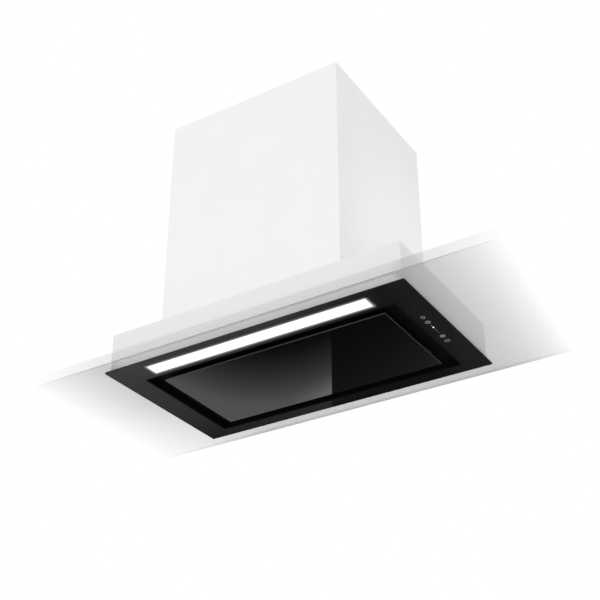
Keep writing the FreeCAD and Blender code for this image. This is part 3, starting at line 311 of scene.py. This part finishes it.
def tray_wall(paint, across, rearward, height):
    """What an upright face keeps back of the light, with painted light and shade: little at the collar,
    more right of the casing.
    """
    foot, rear = TRAY_LOW.z, TRAY_HIGH.y
    collar_side, collar_front, blur = CASING_HIGH.x + COLLAR_REACH, CASING_LOW.y - COLLAR_REACH, 0.0002
    wall_level, collar_share, right_gain, lip_level = 0.12, 0.15, 1.8, 0.3
    # Painted light and shade: thinner at the collar, denser right of the casing.
    beside = paint.span(paint.math("ABSOLUTE", across), collar_side - blur, collar_side + blur)
    ahead = paint.span(rearward, collar_front + blur, collar_front - blur)
    off_collar = paint.span(paint.math("MAXIMUM", beside, ahead), 0.0, 1.0, collar_share, 1.0)
    wall = paint.span(rearward, rear - 0.028, rear - 0.008, wall_level, 0.0)
    to_right = paint.span(across, CASING_HIGH.x - 0.01, CASING_HIGH.x + 0.03, 1.0, right_gain)
    rear_lip = paint.span(rearward, rear - 0.0015, rear - 0.0005, 0.0, lip_level)
    lip = paint.span(height, foot + 0.007, foot + 0.010, rear_lip, 0.0)
    return paint.total(paint.product(wall, off_collar, to_right), lip)


def smoky_acrylic():
    """Smoky see-through tray with clear ends.

    The skin's bottom face carries the density of both its faces, and its upper face stays clear.
    """
    paint = Paint("smoky_acrylic", (0.33, 0.33, 0.33), 0.4, ior=1.49)
    paint.set("Specular IOR Level", 0.2)
    across, rearward, height = (paint.axis(index) for index in range(3))
    fade = tray_fade(paint, across, rearward)
    flat = paint.span(paint.flatness(), 0.5, 0.8)
    skin_middle, blur = TRAY_LOW.z + TRAY_SKIN / 2, 0.0005
    bottom = paint.span(height, skin_middle + blur, skin_middle - blur)
    clear = paint.math("SUBTRACT", 1.0, paint.product(tray_density(paint, across, rearward), fade))
    both_faces = paint.math("SUBTRACT", 1.0, paint.product(clear, clear))
    skin = paint.product(both_faces, flat, bottom)
    wall = tray_wall(paint, across, rearward, height)
    upright = paint.product(wall, fade, paint.math("SUBTRACT", 1.0, flat))
    mottle = paint.even(paint.noise(60.0, 3.0), 0.99, 1.01)
    paint.set("Alpha", paint.product(paint.total(skin, upright), mottle))
    paint.set("Roughness", paint.even(paint.noise(500.0), 0.35, 0.5))
    return paint.material


def galvanised():
    """Zinc spangle: flat crystals of slightly different grey."""
    color, color_drift = (0.56, 0.58, 0.6), 0.16
    paint = Paint("galvanised", color, 0.4, metallic=0.9)
    crystal = paint.axis(0, paint.cells(95.0, output="Color"))
    paint.tint(color, color_drift, crystal)
    paint.set("Roughness", paint.span(crystal, 0.0, 1.0, start=0.3, end=0.5))
    paint.bump(paint.noise(300.0), 0.00004)
    return paint.material


def board(name, mask, track, pad):
    """Solder mask over copper tracks, with bright pads."""
    grid, track_depth, pad_metal = 0.0018, 0.00003, 0.8
    paint = Paint(name, mask, 0.35)
    squares = paint.vector("SNAP", paint.place, (grid, grid, 1.0))
    lane = paint.cells(260.0, feature="DISTANCE_TO_EDGE", place=squares)
    tracks = paint.span(lane, 0.06, 0.10, start=1.0, end=0.0)
    pads = paint.span(paint.cells(190.0), 0.16, 0.2, start=1.0, end=0.0)
    paint.set("Base Color", paint.mix(pads, paint.mix(tracks, mask, track), pad))
    paint.set("Metallic", paint.product(pads, pad_metal))
    paint.bump(tracks, track_depth)
    return paint.material


def lamp_mark(name, color, glow):
    """Printed mark, lit from behind the glass."""
    paint = Paint(name, color, 0.5)
    paint.tint(color, 0.06, paint.noise(900.0))
    paint.set("Emission Color", (0.95, 0.97, 1.0))
    paint.set("Emission Strength", paint.span(paint.noise(300.0, 1.0), 0.2, 0.8, glow * 0.9, glow * 1.1))
    return paint.material


gold = (0.6, 0.55, 0.42)
slot_paint = {
    "black_glass": panel_glass(),
    "black_steel": powder_coat("black_steel", (0.008, 0.008, 0.0085), roughness=0.5),
    "bright_steel": metal("bright_steel", (0.62, 0.62, 0.63), 0.3, grain=(300.0, 300.0, 40.0)),
    "magnet": moulded("magnet", (0.006, 0.006, 0.0065), 0.7, grain=1500.0, fleck=0.2, gloss=0.15),
    "opal_lens": opal_lens(),
    "aluminium": metal("aluminium", (0.74, 0.75, 0.76), 0.38),
    "filter_mesh": metal("filter_mesh", (0.7, 0.71, 0.72), 0.34, grain=(250.0, 250.0, 250.0)),
    "light_board": board("light_board", (0.85, 0.85, 0.83), (0.78, 0.77, 0.73), gold),
    "circuit_board": board("circuit_board", (0.02, 0.16, 0.06), (0.03, 0.26, 0.1), gold),
    "black_plastic": moulded("black_plastic", (0.004, 0.004, 0.0045), 0.65, gloss=0.15),
    "white_plastic": moulded("white_plastic", (0.8, 0.8, 0.78), 0.45),
    "grey_plastic": moulded("grey_plastic", (0.3, 0.31, 0.32), 0.5, fleck=0.12),
    "motor_steel": powder_coat("motor_steel", (0.22, 0.23, 0.24), roughness=0.35),
    "white_steel": powder_coat("white_steel", (0.92, 0.92, 0.92)),
    "galvanised": galvanised(),
    "smoky_acrylic": smoky_acrylic(),
}
node_paint = {
    "fascia_glass": fascia_glass(),
    # The casing gets a darker copy of the white steel, which is painted shade, and it turns lighter
    # towards its rear, which is painted light.
    "body_shell": powder_coat("white_steel_casing_painted_shade", (0.84, 0.84, 0.84), rear=(0.95, 0.95, 0.95)),
}
slot_of = {row["node"]: row["material_slot"] for row in frame["record"]["subparts"]}
for node_name, node_item in frame["nodes"].items():
    for material_slot in node_item.material_slots:
        material_slot.material = node_paint.get(node_name, slot_paint[slot_of[node_name]])


# ---- extra pieces ----
def piece(name, build, material, body):
    """Object from a bmesh that build fills, riding on a body of the frame."""
    mesh = bpy.data.meshes.new(name)
    work = bmesh.new()
    build(work)
    bmesh.ops.recalc_face_normals(work, faces=work.faces)
    work.to_mesh(mesh)
    work.free()
    mesh.materials.append(material)
    item = bpy.data.objects.new(name, mesh)
    bpy.context.scene.collection.objects.link(item)
    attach(item, body)
    return item


def ribbon(work, points, width, low, high, closed=False):
    """Band of a width along points, from height low to high; a point's third number lifts it."""
    count = len(points)
    rings = []
    for index, point in enumerate(points):
        before = points[index - 1] if closed or index else point
        after = points[(index + 1) % count] if closed or index < count - 1 else point
        along = (Vector(after) - Vector(before)).to_2d().normalized()
        side = Vector((-along.y, along.x)) * width / 2
        lift = point[2] if len(point) > 2 else 0.0
        rings.append([work.verts.new((point[0] + s * side.x, point[1] + s * side.y, z + lift))
                      for s, z in ((-1, low), (1, low), (1, high), (-1, high))])
    for index in range(count if closed else count - 1):
        a, b = rings[index], rings[(index + 1) % count]
        for k in range(4):
            work.faces.new((a[k], a[(k + 1) % 4], b[(k + 1) % 4], b[k]))
    if not closed:
        work.faces.new(rings[0][::-1])
        work.faces.new(rings[-1])


def arc(x, y, radius, start, end, steps=24):
    angles = [math.radians(start + (end - start) * i / steps) for i in range(steps + 1)]
    return [(x + radius * math.cos(a), y + radius * math.sin(a)) for a in angles]


GLASS_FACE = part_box("fascia_glass")[0].z
PRINT_PROUD, PRINT_SUNK = 0.00003, 0.00005
MARK_LOW, MARK_HIGH = GLASS_FACE - PRINT_PROUD, GLASS_FACE + PRINT_SUNK
MARK_X = 0.4065
STROKE = 0.0014
THIN_STROKE = STROKE * 0.7
DIAL_RADIUS, DIAL_SWEEP = 0.0061, 345
DOT_RADIUS, LIT_DOT_RADIUS = 0.0012, 0.002
DOTS_Y, LIT_DOT_Y = (-0.021, 0.001, 0.011, 0.021), -0.010

# The signs stand with their tops towards the hood's front.


def line(work, points, width=STROKE):
    ribbon(work, points, width, MARK_LOW, MARK_HIGH)


def bar(work, y, half, width=STROKE):
    line(work, [(MARK_X - half, y), (MARK_X + half, y)], width)


def dial(work, y):
    """Closed ring."""
    points = arc(MARK_X, y, DIAL_RADIUS, 0, DIAL_SWEEP)[:-1]
    ribbon(work, points, STROKE, MARK_LOW, MARK_HIGH, closed=True)


def lamp_sign(work, y):
    """Lamp: a bulb over two short bars."""
    bulb_radius, bulb_rise = 0.0046, 0.0012
    line(work, arc(MARK_X, y - bulb_rise, bulb_radius, 60, -240))
    for drop, half in ((0.0046, 0.0024), (0.0068, 0.0015)):
        bar(work, y + drop, half)


def timer_sign(work, y):
    """Dial with a hand up and a hand to the right."""
    hand_up, hand_right = 0.0040, 0.0030
    dial(work, y)
    line(work, [(MARK_X, y - hand_up), (MARK_X, y), (MARK_X + hand_right, y)])


def filter_sign(work, y):
    """Dial crossed by three slats."""
    dial(work, y)
    for drop, half in ((-0.0024, 0.0040), (0.0, 0.0046), (0.0024, 0.0040)):
        bar(work, y + drop, half, THIN_STROKE)


def power_sign(work, y):
    """Open ring with an upright stroke."""
    ring_radius, stroke_top, stroke_foot = 0.0060, 0.0070, 0.0010
    line(work, arc(MARK_X, y, ring_radius, -50, 230))
    line(work, [(MARK_X, y - stroke_top), (MARK_X, y - stroke_foot)])


def dot(work, y, radius):
    """Round dot."""
    corners = 24
    outline = arc(MARK_X, y, radius, 0, 360 - 360 / corners, corners - 1)
    lower = [work.verts.new((px, py, MARK_LOW)) for px, py in outline]
    upper = [work.verts.new((v.co.x, v.co.y, MARK_HIGH)) for v in lower]
    work.faces.new(lower)
    work.faces.new(upper[::-1])
    for k in range(len(lower)):
        after = (k + 1) % len(lower)
        work.faces.new((lower[k], lower[after], upper[after], upper[k]))


def level_dots(work):
    for y in DOTS_Y:
        dot(work, y, DOT_RADIUS)


mark_grey = lamp_mark("mark_grey", (0.42, 0.42, 0.43), 0.07)
mark_lit = lamp_mark("mark_lit", (0.9, 0.9, 0.9), 1.6)
for key_name, sign, key_y in (("key_lamp", lamp_sign, -0.067), ("key_timer", timer_sign, -0.040),
                              ("key_filter", filter_sign, 0.042), ("key_power", power_sign, 0.069)):
    piece(key_name, partial(sign, y=key_y), mark_grey, "hood")
piece("level_dots", level_dots, mark_grey, "hood")
piece("level_dot_lit", partial(dot, y=LIT_DOT_Y, radius=LIT_DOT_RADIUS), mark_lit, "hood")

NET_STEP, NET_ROW, NET_STRAND, NET_SHEET = 0.0048, 0.0050, 0.0010, 0.0007
NET_WAVE = 0.0003
NET_EDGE = NET_STRAND * 0.8
NET_LAYERS = (0.0004, 0.0018)


def expanded_net(work, low, high, base, shift):
    """Expanded metal: zigzag strands that meet at the knots of each diamond."""
    columns = int((high.x - low.x) / NET_STEP)
    rows = int((high.y - low.y) / NET_ROW)
    step = (high.x - low.x) / columns
    pitch = (high.y - low.y - 2 * NET_EDGE) / rows
    for row in range(rows):
        y = low.y + NET_EDGE + (row + 0.5) * pitch
        points = []
        for column in range(columns + 1):
            up = 1 if (row + column + shift) % 2 else -1
            points.append((low.x + column * step, y + up * pitch / 2, up * NET_WAVE))
        ribbon(work, points, NET_STRAND, base, base + NET_SHEET)


def filter_layers(work, low, high):
    """Two nets, one above the other, half a diamond apart."""
    for shift, rise in enumerate(NET_LAYERS):
        expanded_net(work, low, high, low.z + rise, shift)


for side in ("left", "right"):
    mesh_low, mesh_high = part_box("filter_mesh_" + side)
    layers = partial(filter_layers, low=mesh_low, high=mesh_high)
    net = piece("filter_net_" + side, layers, slot_paint["filter_mesh"], "hood")
    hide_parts("filter_mesh_" + side)


# ---- world, floor, lamps, camera ----
CAMERA_PLACE = Vector((1.4944, -2.3699, -2.2236))
TILT, TURN = math.radians(30.87), math.radians(32.076)
# A camera with no rotation looks straight down.
LEVEL = math.radians(90)
SENSOR_WIDTH, FOCAL_PIXELS, PICTURE_PIXELS = 36.0, 1192.15, 600.0
SKY_LIGHT = 0.86
FLOOR_HEIGHT, FLOOR_REACH = -4.2, 30.0
LAMP_AIM = (0, 0, -0.5)


def blend(nodes, factor, first, second):
    """From the first number to the second as the factor goes from 0 to 1."""
    rest = nodes.math("SUBTRACT", 1.0, factor)
    return nodes.total(nodes.product(first, rest), nodes.product(second, factor))


def room(nodes, height):
    """What mirrors see: a dim room with one upright split, brighter on its left, and white overhead.

    The turn is counted to the right from where the camera points, the dip down from level.
    """
    split_turn, near_start, near_full = 0.02985, -0.01, 0.025
    bright_start, bright_full = 0.62, 0.82
    upper_dip, lower_dip, upper_share = 0.405, 0.438, 0.2
    to_right, ahead = (math.cos(TURN), math.sin(TURN), 0), (-math.sin(TURN), math.cos(TURN), 0)
    turn = nodes.math("ARCTAN2", nodes.vector("DOT_PRODUCT", nodes.place, to_right, output="Value"),
                      nodes.vector("DOT_PRODUCT", nodes.place, ahead, output="Value"))
    dip = nodes.math("ARCSINE", nodes.product(height, -1.0))

    def glow(start, slope, curve, middle, low, high, rise=0.0):
        """Light by the dip and by the turn off a middle; its root grows by up to rise near the split."""
        off = nodes.math("SUBTRACT", turn, middle)
        root = nodes.total(nodes.product(dip, slope), start, nodes.product(off, off, curve))
        near_split = nodes.span(turn, near_start, near_full, end=rise)
        lift = nodes.product(near_split, nodes.span(root, bright_start, bright_full))
        limit = nodes.total(near_split, high)
        root = nodes.add("ShaderNodeClamp", (nodes.total(root, lift), low, limit))
        return nodes.product(root, root)

    left = glow(start=7.347, slope=-14.5, curve=43.28, middle=-0.0393, low=0.12, high=0.82, rise=0.19)
    left = nodes.product(left, nodes.span(dip, upper_dip, lower_dip, upper_share, 1.0))
    right = glow(start=1.29, slope=-2.357, curve=10.16, middle=0.0, low=0.08, high=0.40)
    sides = blend(nodes, nodes.math("LESS_THAN", turn, split_turn), right, left)
    return nodes.math("MAXIMUM", sides, nodes.span(height, 0.0, 0.3))


def sky():
    """White behind the object, an even light all round, and the room for mirrors."""
    world = bpy.data.worlds.new("studio")
    world.use_nodes = True
    bpy.context.scene.world = world
    nodes = Nodes(world.node_tree, "Generated")
    path = world.node_tree.nodes.new("ShaderNodeLightPath").outputs
    seen = nodes.math("MAXIMUM", path["Is Camera Ray"], path["Is Transmission Ray"])
    plain = nodes.total(nodes.product(seen, 1.0 - SKY_LIGHT), SKY_LIGHT)
    level = blend(nodes, path["Is Glossy Ray"], plain, room(nodes, nodes.axis(2)))
    nodes.plug(level, world.node_tree.nodes["Background"].inputs["Color"])


def floor():
    """Large pale floor well below the hood."""
    mesh = bpy.data.meshes.new("floor")
    signs = ((-1, -1), (1, -1), (1, 1), (-1, 1))
    corners = [(x * FLOOR_REACH, y * FLOOR_REACH, FLOOR_HEIGHT) for x, y in signs]
    mesh.from_pydata(corners, [], [(0, 1, 2, 3)])
    pale = (0.86, 0.86, 0.86)
    paint = Paint("floor", pale, 0.8)
    paint.tint(pale, 0.01, paint.noise(2.0, 3.0))
    mesh.materials.append(paint.material)
    item = bpy.data.objects.new("floor", mesh)
    bpy.context.scene.collection.objects.link(item)
    item.visible_glossy = False


def light(name, kind, place, aim, power, **settings):
    """Light of a kind, turned to a point, that shows in no mirror."""
    data = bpy.data.lights.new(name, kind)
    data.energy = power
    for key, value in settings.items():
        setattr(data, key, value)
    item = bpy.data.objects.new(name, data)
    bpy.context.scene.collection.objects.link(item)
    item.location = place
    item.rotation_euler = (Vector(aim) - Vector(place)).to_track_quat("-Z", "Y").to_euler()
    item.visible_glossy = False
    return item


def lamp(name, place, size, power):
    """Square soft lamp that the camera doesn't see."""
    item = light(name, "AREA", place, LAMP_AIM, power, shape="SQUARE", size=size)
    item.visible_camera = False


sky()
floor()
lamp("front_lamp", (-0.8, -4.5, -1.0), size=2.5, power=32.0)
lamp("right_lamp", (4.0, -1.5, -1.5), size=2.0, power=7.0)
light("side_pool", "SPOT", (2.2, -0.3, -0.85), aim=(0.275, 0.10, -0.42), power=15.0,
      spot_size=math.radians(20.0), spot_blend=1.0, shadow_soft_size=0.1)

camera = bpy.data.objects.new("camera", bpy.data.cameras.new("camera"))
bpy.context.scene.collection.objects.link(camera)
camera.location = CAMERA_PLACE
camera.rotation_euler = (LEVEL + TILT, 0, TURN)
camera.data.sensor_width = SENSOR_WIDTH
camera.data.lens = FOCAL_PIXELS * SENSOR_WIDTH / PICTURE_PIXELS
bpy.context.scene.camera = camera
bpy.context.scene.view_settings.view_transform = "Standard"
